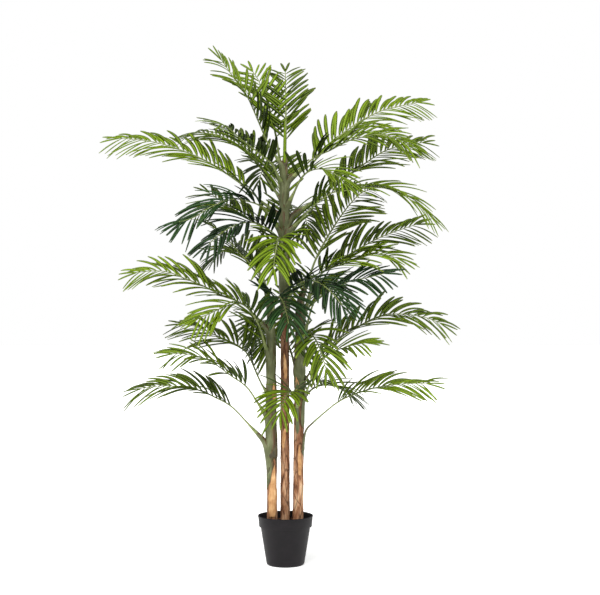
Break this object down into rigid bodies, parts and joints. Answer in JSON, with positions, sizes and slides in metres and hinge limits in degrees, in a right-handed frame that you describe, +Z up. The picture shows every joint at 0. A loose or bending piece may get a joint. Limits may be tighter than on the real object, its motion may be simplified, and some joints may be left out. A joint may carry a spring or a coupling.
{
  "type": "potted palm",
  "caption": "Tall feather-leaved palm with slim brown canes and arching green fronds, planted in a round black nursery pot that stands on a floor.",
  "frame": {"origin": "centre of the pot's flat underside, on the ground", "axes": "+Z up, +X to the right of a person facing the palm's front, -Y towards that person"},
  "size_m": [1.2442, 0.8464, 1.8028],
  "materials": {
    "pot": "thin moulded black polypropylene, faint satin sheen",
    "soil": "dark damp potting mix with bark bits, rough",
    "cane": "brown fibrous palm stem, rough and matte",
    "crownshaft": "smooth olive-green rolled leaf bases, satin",
    "frond": "fresh green feather leaf, satin, yellower on its ribs",
    "dry_sheath": "dried tan leaf base, papery and fibrous"
  },
  "bodies": {
    "root": {"pot": "pot", "soil": "soil", "cane_left": "cane", "crownshaft_left": "crownshaft", "cane_middle": "cane", "crownshaft_middle": "crownshaft", "cane_right": "cane", "crownshaft_right": "crownshaft", "spear_leaf": "frond", "dry_sheath_left_low": "dry_sheath", "dry_sheath_left_high": "dry_sheath", "dry_sheath_middle_low": "dry_sheath", "dry_sheath_middle_high": "dry_sheath", "dry_sheath_right_low": "dry_sheath", "dry_sheath_right_high": "dry_sheath", "left_frond_01": "frond", "left_frond_02": "frond", "left_frond_03": "frond", "left_frond_04": "frond", "left_frond_05": "frond", "left_frond_06": "frond", "left_frond_07": "frond", "left_frond_08": "frond", "left_frond_09": "frond", "right_frond_01": "frond", "right_frond_02": "frond", "right_frond_03": "frond", "right_frond_04": "frond", "right_frond_05": "frond", "right_frond_06": "frond", "right_frond_07": "frond", "right_frond_08": "frond", "right_frond_09": "frond", "right_frond_10": "frond", "right_frond_11": "frond", "middle_frond_01": "frond", "middle_frond_02": "frond", "middle_frond_03": "frond", "middle_frond_04": "frond", "middle_frond_05": "frond", "middle_frond_06": "frond", "middle_frond_07": "frond", "middle_frond_08": "frond", "middle_frond_09": "frond", "middle_frond_10": "frond", "middle_frond_11": "frond", "middle_frond_12": "frond", "middle_frond_13": "frond", "middle_frond_14": "frond", "middle_frond_15": "frond", "middle_frond_16": "frond", "middle_frond_17": "frond", "middle_frond_18": "frond", "middle_frond_19": "frond"}
  },
  "joints": []
}
